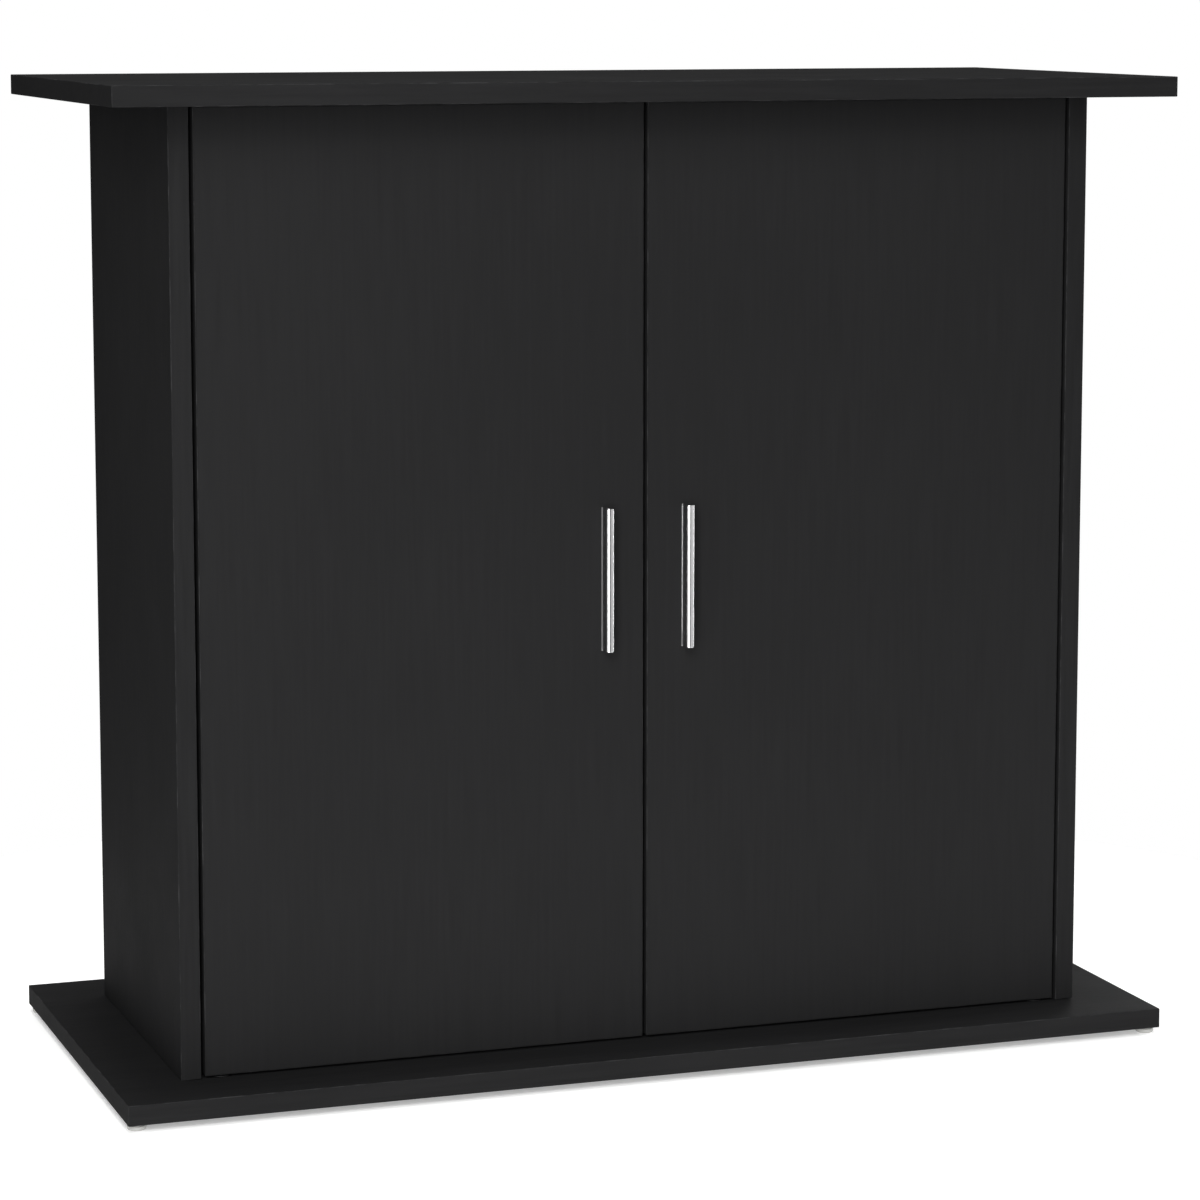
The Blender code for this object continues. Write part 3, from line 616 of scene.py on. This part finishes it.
# ---------------------------------------------------------------- boards
def dress_boards():
    """Every board keeps its CAD shape; its grain runs along its longer side."""
    boards = {"top_panel": ACROSS, "bottom_panel": ACROSS, "back_panel": UPRIGHT,
              "centre_divider": UPRIGHT, "left_side_panel": UPRIGHT,
              "right_side_panel": UPRIGHT, "left_shelf": ACROSS, "right_shelf": ACROSS}
    for name, grain in boards.items():
        dress(name, melamine(name, grain, BOARD_COLOUR, *BOARD_PRINT))
    for side in SIDES:
        name = side + "_door"
        dress(name, melamine(name, UPRIGHT, DOOR_COLOUR, *DOOR_PRINT))


# ---------------------------------------------------------------- handles
def handle_section(width, depth):
    """Outline of the bar, from the flange on the door round its crowned front."""
    half = width / 2
    web = half - HANDLE_WEB_INSET
    head = HANDLE_HEAD - depth
    nick = HANDLE_ARRIS
    right = [(half - nick, 0.0), (half, -nick), (half, nick - HANDLE_FLANGE),
             (half - nick, -HANDLE_FLANGE), (web, -HANDLE_FLANGE - 3 * nick),
             (web, head + 4 * nick), (half - nick, head + nick / 2), (half, head - nick)]
    for step in range(HANDLE_CROWN_STEPS + 1):
        turn = math.radians(90 * step / HANDLE_CROWN_STEPS)
        right.append((half - HANDLE_CROWN * (1 - math.cos(turn)),
                      -depth + HANDLE_CROWN * (1 - math.sin(turn))))
    return right + [(-x, y) for x, y in reversed(right)]


def make_handle(side, chrome):
    """The bar handle: one extruded section with softly rounded ends."""
    node = side + "_handle"
    low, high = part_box(node)
    size = high - low
    centre = middle_of(node)
    outline = handle_section(size.x, size.y)
    part_way = HANDLE_END * HANDLE_END_STEP
    levels = ((low.z, HANDLE_END), (low.z + part_way, part_way), (low.z + HANDLE_END, 0.0),
              (high.z - HANDLE_END, 0.0), (high.z - part_way, part_way), (high.z, HANDLE_END))
    bm = bmesh.new()
    rings = []
    for z, inset in levels:
        shrink_x = 1 - 2 * inset / size.x
        shrink_y = 1 - 2 * inset / size.y
        rings.append([bm.verts.new((centre.x + x * shrink_x,
                                    centre.y + (y + size.y / 2) * shrink_y, z))
                      for x, y in outline])
    for lower, upper in zip(rings, rings[1:]):
        join_rings(bm, lower, upper)
    bm.faces.new(list(reversed(rings[0])))
    bm.faces.new(rings[-1])
    stand_in(node + "_bar", mesh_of(node + "_bar", bm, HANDLE_CREASE), chrome,
             DOOR_BODY[side], "handle_chrome", node)


# ---------------------------------------------------------------- glides and turned pieces
def make_glide(node, plastic):
    """Moulded glide: a rounded foot under a narrower shoulder, and its nail."""
    low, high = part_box(node)
    centre = middle_of(node)
    radius = (high.x - low.x) / 2
    neck = radius - GLIDE_STEP
    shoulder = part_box("bottom_panel")[0].z - CONTACT
    foot = shoulder - GLIDE_SHOULDER
    profile = [(0, high.z), (GLIDE_NAIL_RADIUS, high.z - GLIDE_NAIL_TIP),
               (GLIDE_NAIL_RADIUS, shoulder)]
    profile += fillet(neck, shoulder, GLIDE_ROUND, "top")
    profile += [(neck, foot + GLIDE_ARRIS)]
    profile += fillet(radius, foot, GLIDE_ROUND, "top")
    profile += fillet(radius, 0.0, GLIDE_FOOT_ROUND, "bottom", GLIDE_FOOT_STEPS)
    profile += [(radius * GLIDE_HOLLOW_MOUTH, 0.0),
                (radius * GLIDE_HOLLOW_FLOOR, GLIDE_HOLLOW), (0, GLIDE_HOLLOW)]
    bm = bmesh.new()
    add_turned(bm, profile, (centre.x, centre.y, 0.0))
    stand_in(node + "_moulding", mesh_of(node, bm), plastic, CARCASS, "white_plastic", node)


def rod_profile(radius, half, rounding, middle=()):
    """Profile of a rod with rounded tips, and any points between them."""
    upper = [(0, half)] + fillet(radius, half, rounding, "top")
    lower = fillet(radius, -half, rounding, "bottom") + [(0, -half)]
    return upper + list(middle) + lower


def make_shelf_pin(node, outward, zinc):
    """A steel pin: rounded tips and a shank with one shallow groove."""
    low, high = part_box(node)
    radius = (high.z - low.z) / 2
    inside = radius - GROOVE_DEPTH
    groove = ((radius, GROOVE_WIDTH), (inside, GROOVE_WIDTH * 0.75),
              (inside, GROOVE_WIDTH * 0.25), (radius, 0.0))
    profile = rod_profile(radius, (high.x - low.x) / 2, SHELF_PIN_ROUND, groove)
    bm = bmesh.new()
    add_turned(bm, profile, middle_of(node), (outward, 0, 0), steps=SMALL_STEPS)
    stand_in(node + "_turned", mesh_of(node, bm), zinc, CARCASS, "zinc_steel", node)


def make_pivot_bush(side, end, nylon):
    """The flanged bush in a board, which a door's pin turns in."""
    toward_room = 1 if end == "bottom" else -1
    node = "%s_door_%s_pivot_bush" % (side, end)
    low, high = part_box(node)
    centre = middle_of(node)
    flange = (high.x - low.x) / 2
    depth = high.z - low.z
    face = high.z if toward_room > 0 else low.z
    across, along = BUSH_CHAMFER
    profile = [(BUSH_BORE, -BUSH_ARRIS), (BUSH_BORE + BUSH_ARRIS, 0.0)]
    profile += fillet(flange, 0.0, BUSH_ROUND, "top")
    profile += [(flange, -BUSH_FLANGE), (BUSH_RADIUS, -BUSH_FLANGE),
                (BUSH_RADIUS, -depth + along), (BUSH_RADIUS - across, -depth),
                (BUSH_BORE, -depth)]
    bm = bmesh.new()
    add_turned(bm, profile, (centre.x, centre.y, face), (0, 0, toward_room), closed=True,
               steps=MIDDLE_STEPS)
    stand_in(node + "_flanged", mesh_of(node, bm), nylon, CARCASS, "black_plastic", node)


def make_pivot_pin(side, end, steel):
    """The steel pin in a door's edge."""
    node = "%s_door_%s_pivot_pin" % (side, end)
    low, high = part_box(node)
    profile = rod_profile((high.x - low.x) / 2, (high.z - low.z) / 2, PIVOT_PIN_ROUND)
    bm = bmesh.new()
    add_turned(bm, profile, middle_of(node), steps=SMALL_STEPS)
    stand_in(node + "_turned", mesh_of(node, bm), steel, DOOR_BODY[side], "zinc_steel", node)


# ---------------------------------------------------------------- screws and cams
def turned_with_recess(name, profile, place, axis, recess, steps=SMALL_STEPS):
    """The mesh of a screw or a cam, turned round its axis, with its driver recess."""
    bm = bmesh.new()
    add_turned(bm, profile, place, axis, steps=steps)
    return carve(mesh_of(name, bm), cross_recess(name + "_recess", place, axis, *recess))


def make_handle_screw(node, zinc, body):
    """Pan-head screw seen from inside the door, with its cross recess."""
    low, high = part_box(node)
    centre = middle_of(node)
    place = (centre.x, high.y, centre.z)
    tip = low.y - high.y
    profile = [(0, 0.0), (PAN_RADIUS / 2, -PAN_CROWN)]
    for angle in PAN_ANGLES:
        turn = math.radians(angle)
        rise = PAN_DOME * math.cos(turn) ** PAN_FLATNESS
        profile.append((PAN_RADIUS * math.sin(turn), rise - PAN_HEIGHT))
    profile += [(PAN_RADIUS, -PAN_HEIGHT), (SHANK_RADIUS, -PAN_HEIGHT),
                (SHANK_RADIUS, tip + SHANK_TIP), (0, tip)]
    name = node + "_pan_head"
    mesh = turned_with_recess(name, profile, place, (0, 1, 0), PAN_RECESS)
    stand_in(name, mesh, zinc, body, "zinc_steel", node)


def make_cam(node, side_sign, zinc):
    """Cam housing: a dished face inside a flat rim, with a cross recess."""
    low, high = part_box(node)
    centre = middle_of(node)
    radius = (high.z - low.z) / 2
    depth = high.x - low.x
    rim = radius - CAM_RIM
    face = high.x if side_sign < 0 else low.x
    profile = [(0, -CAM_DISH), (rim - 1.75 * CAM_DISH, -CAM_DISH),
               (rim - CAM_DISH, -CAM_DISH / 4), (rim, 0.0)]
    profile += fillet(radius, 0.0, CAM_ROUND, "top")
    profile += [(radius, -depth + CAM_CHAMFER), (radius - CAM_CHAMFER, -depth), (0, -depth)]
    mesh = turned_with_recess(node, profile, (face, centre.y, centre.z), (-side_sign, 0, 0),
                              CAM_RECESS, MIDDLE_STEPS)
    stand_in(node + "_housing", mesh, zinc, CARCASS, "zinc_steel", node)


# ---------------------------------------------------------------- catches and plates
def rounded_bar(bm, low, high, radius, steps=4):
    """A bar with its four edges along Z rounded, added to bm."""
    low = Vector(low)
    high = Vector(high)
    ring = []
    for quarter, (sx, sy) in enumerate(((1, 1), (-1, 1), (-1, -1), (1, -1))):
        centre_x = (high.x if sx > 0 else low.x) - sx * radius
        centre_y = (high.y if sy > 0 else low.y) - sy * radius
        for step in range(steps + 1):
            turn = math.radians(90 * (quarter + step / steps))
            ring.append((centre_x + radius * math.cos(turn),
                         centre_y + radius * math.sin(turn)))
    bottom = [bm.verts.new((x, y, low.z)) for x, y in ring]
    top = [bm.verts.new((x, y, high.z)) for x, y in ring]
    join_rings(bm, bottom, top)
    bm.faces.new(list(reversed(bottom)))
    bm.faces.new(top)


def bevelled(mesh, width, segments=3):
    """The mesh with its sharp edges rounded."""
    bm = bmesh.new()
    bm.from_mesh(mesh)
    sharp = [edge for edge in bm.edges if len(edge.link_faces) == 2
             and edge.calc_face_angle() > math.radians(BEVEL_CREASE)]
    bmesh.ops.bevel(bm, geom=sharp, offset=width, segments=segments, profile=0.5,
                    affect="EDGES", clamp_overlap=True)
    return mesh_of(mesh.name, bm)


def make_catch_housing(side, nylon):
    """Moulded housing with two stepped screw holes and the channel for the pole plates."""
    node = side + "_magnetic_catch"
    low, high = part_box(node)
    centre = middle_of(node)
    bm = bmesh.new()
    rounded_bar(bm, (low.x, low.y + CATCH_POLE_REACH, low.z), high, CATCH_CORNER)
    body = bevelled(mesh_of(node, bm), CATCH_BEVEL)
    cuts = bmesh.new()
    for offset in (-CATCH_SCREW_X, CATCH_SCREW_X):
        add_turned(cuts, CATCH_HOLE, (centre.x + offset, centre.y, low.z), (0, 0, -1),
                   steps=SMALL_STEPS)
    half_width, half_height = CHANNEL_HALF
    front, back = CHANNEL_DEPTH
    for vert in bmesh.ops.create_cube(cuts, size=1.0)["verts"]:
        vert.co.x = centre.x + math.copysign(half_width, vert.co.x)
        vert.co.y = low.y + (front if vert.co.y < 0 else back)
        vert.co.z = centre.z + math.copysign(half_height, vert.co.z)
    body = carve(body, mesh_of(node + "_slots", cuts))
    stand_in(side + "_catch_housing", body, nylon, CARCASS, "black_plastic", node)


def make_pole_plates(side, zinc):
    """The two steel plates in front of the magnet."""
    node = side + "_magnetic_catch"
    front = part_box(node)[0].y
    centre = middle_of(node)
    half_width, half_height = POLE_HALF
    plates = bmesh.new()
    for offset in (-POLE_SPACING, POLE_SPACING):
        z = centre.z + offset
        rounded_bar(plates, (centre.x - half_width, front, z - half_height),
                    (centre.x + half_width, front + POLE_DEPTH, z + half_height), POLE_CORNER)
    mesh = bevelled(mesh_of(node + "_poles", plates), PLATE_BEVEL, PLATE_BEVEL_STEPS)
    stand_in(side + "_catch_pole_plates", mesh, zinc, CARCASS, "zinc_steel")


def make_catch_screws(side, zinc):
    """The two screws that hold the catch up to the top board."""
    node = side + "_magnetic_catch"
    centre = middle_of(node)
    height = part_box(node)[0].z + CATCH_SCREW_SUNK
    for label, offset in (("inner", -CATCH_SCREW_X), ("outer", CATCH_SCREW_X)):
        name = "%s_catch_%s_screw" % (side, label)
        place = (centre.x + offset, centre.y, height)
        mesh = turned_with_recess(name, CATCH_SCREW, place, (0, 0, -1), CATCH_RECESS)
        stand_in(name, mesh, zinc, CARCASS, "zinc_steel")


def make_strike_plate(side, zinc):
    """Thin steel plate on the door's back, with two flat-head screws flush in it."""
    node = side + "_strike_plate"
    low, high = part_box(node)
    centre = middle_of(node)
    places = [(centre.x + offset, high.y, centre.z)
              for offset in (-PLATE_SCREW_X, PLATE_SCREW_X)]
    bm = bmesh.new()
    rounded_bar(bm, (low.x, low.z, 0.0), (high.x, high.z, high.y - low.y), PLATE_CORNER)
    lay_back = Matrix(((1, 0, 0, 0), (0, 0, -1, high.y), (0, 1, 0, 0), (0, 0, 0, 1)))
    bmesh.ops.transform(bm, matrix=lay_back, verts=bm.verts)
    plate = bevelled(mesh_of(node, bm), PLATE_BEVEL, PLATE_BEVEL_STEPS)
    sinks = bmesh.new()
    for place in places:
        add_turned(sinks, PLATE_HOLE, place, (0, 1, 0), steps=SMALL_STEPS)
    plate = carve(plate, mesh_of(node + "_sinks", sinks))
    stand_in(node + "_pressed", plate, zinc, DOOR_BODY[side], "zinc_steel", node)
    for label, place in zip(("inner", "outer"), places):
        name = "%s_plate_%s_screw" % (side, label)
        mesh = turned_with_recess(name, PLATE_SCREW, place, (0, 1, 0), PLATE_RECESS)
        stand_in(name, mesh, zinc, DOOR_BODY[side], "zinc_steel")


# ---------------------------------------------------------------- stage, lights, camera
def make_stage():
    """A round white floor; past its rim the background is just as white."""
    bm = bmesh.new()
    bmesh.ops.create_circle(bm, cap_ends=True, segments=FLOOR_STEPS,
                            radius=FLOOR_RADIUS)
    mesh = bpy.data.meshes.new("studio_floor")
    bm.to_mesh(mesh)
    bm.free()
    floor = bpy.data.objects.new("studio_floor", mesh)
    bpy.context.scene.collection.objects.link(floor)
    mesh.materials.append(floor_material())


def make_world():
    """White where the camera sees it, and a dimmer even light on everything else."""
    world = bpy.data.worlds.new("studio")
    bpy.context.scene.world = world
    world.use_nodes = True
    tree = world.node_tree
    background = tree.nodes["Background"]
    background.inputs["Color"].default_value = rgb(1.0, 1.0, 1.0)
    path = tree.nodes.new("ShaderNodeLightPath")
    choose = tree.nodes.new("ShaderNodeMapRange")
    choose.inputs["To Min"].default_value = WORLD_LIGHT
    choose.inputs["To Max"].default_value = WORLD_SEEN
    tree.links.new(path.outputs["Is Camera Ray"], choose.inputs["Value"])
    tree.links.new(choose.outputs["Result"], background.inputs["Strength"])


def add_lamp(name, light, place, target):
    """A lamp at a place, turned to its target and unseen by the camera."""
    lamp = bpy.data.objects.new(name, light)
    bpy.context.scene.collection.objects.link(lamp)
    lamp.location = place
    lamp.rotation_mode = "QUATERNION"
    lamp.rotation_quaternion = (Vector(target) - Vector(place)).to_track_quat("-Z", "Y")
    lamp.visible_camera = False


def make_lights():
    """A soft sun straight above, and the softboxes round the cabinet."""
    sun = bpy.data.lights.new("overhead", "SUN")
    sun.energy = SUN_STRENGTH
    sun.angle = math.radians(SUN_ANGLE)
    add_lamp("overhead", sun, SUN_PLACE, (0.0, 0.0, 0.0))
    for name, (place, target, width, height, watts) in SOFTBOXES.items():
        light = bpy.data.lights.new(name, "AREA")
        light.shape = "RECTANGLE"
        light.size = width
        light.size_y = height
        light.energy = watts
        add_lamp(name, light, place, target)


def make_camera():
    """The product shot: from the left, a little above the cabinet, with a long lens."""
    camera = bpy.data.cameras.new("product_camera")
    camera.sensor_width = CAMERA_SENSOR
    camera.lens = CAMERA_LENS
    camera.shift_y = CAMERA_SHIFT_Y
    camera.clip_start, camera.clip_end = CAMERA_CLIP
    eye = bpy.data.objects.new("product_camera", camera)
    bpy.context.scene.collection.objects.link(eye)
    eye.location = CAMERA_PLACE
    eye.rotation_mode = "XYZ"
    eye.rotation_euler = (math.radians(90 - CAMERA_PITCH), 0.0, -math.radians(CAMERA_YAW))
    bpy.context.scene.camera = eye


# ---------------------------------------------------------------- assembly
def fit_carcass():
    """The glides and the divider's dowels."""
    plastic = moulded("white_glide_finish", (0.43, 0.43, 0.415), 0.40, 0.35, 0.00002)
    wood = beech("beech_dowel_finish")
    for node in [name for name in NODES if name.endswith("_glide")]:
        make_glide(node, plastic)
    for end in ENDS:
        dress("divider_%s_dowel" % end, wood)


def fit_side(side, sign, chrome, zinc, steel, nylon):
    """All the hardware of one side; sign is -1 on the left and 1 on the right."""
    make_handle(side, chrome)
    make_catch_housing(side, nylon)
    make_pole_plates(side, zinc)
    make_catch_screws(side, zinc)
    make_strike_plate(side, zinc)
    for place in ("lower", "upper"):
        make_handle_screw("%s_handle_%s_screw" % (side, place), zinc, DOOR_BODY[side])
    for column in COLUMNS:
        stem = "%s_shelf_%s_" % (side, column)
        make_shelf_pin(stem + "outer_pin", -sign, zinc)
        make_shelf_pin(stem + "inner_pin", sign, zinc)
    for end in ENDS:
        make_pivot_bush(side, end, nylon)
        make_pivot_pin(side, end, steel)
        for column in COLUMNS:
            stem = "_".join((side, end, column))
            make_cam(stem + "_cam", sign, zinc)
            dress(stem + "_cam_bolt", zinc)


dress_boards()
fit_carcass()
chrome_finish = metal("handle_chrome_finish", (0.86, 0.86, 0.87), 0.12, 0.03,
                      CHROME_SCRATCH, UPRIGHT)
zinc_finish = metal("zinc_plate_finish", (0.66, 0.67, 0.69), 0.26, 0.10,
                    ZINC_SCRATCH, mottle=0.10)
pin_finish = metal("oiled_steel_finish", (0.10, 0.10, 0.105), 0.38, 0.10,
                   ZINC_SCRATCH, mottle=0.15)
nylon_finish = moulded("black_nylon_finish", (0.012, 0.012, 0.0125), 0.55, 0.15)
for side_name, side_sign in zip(SIDES, (-1, 1)):
    fit_side(side_name, side_sign, chrome_finish, zinc_finish, pin_finish, nylon_finish)

make_stage()
make_world()
make_lights()
make_camera()
view = bpy.context.scene.view_settings
view.view_transform = "Standard"
view.look = "None"
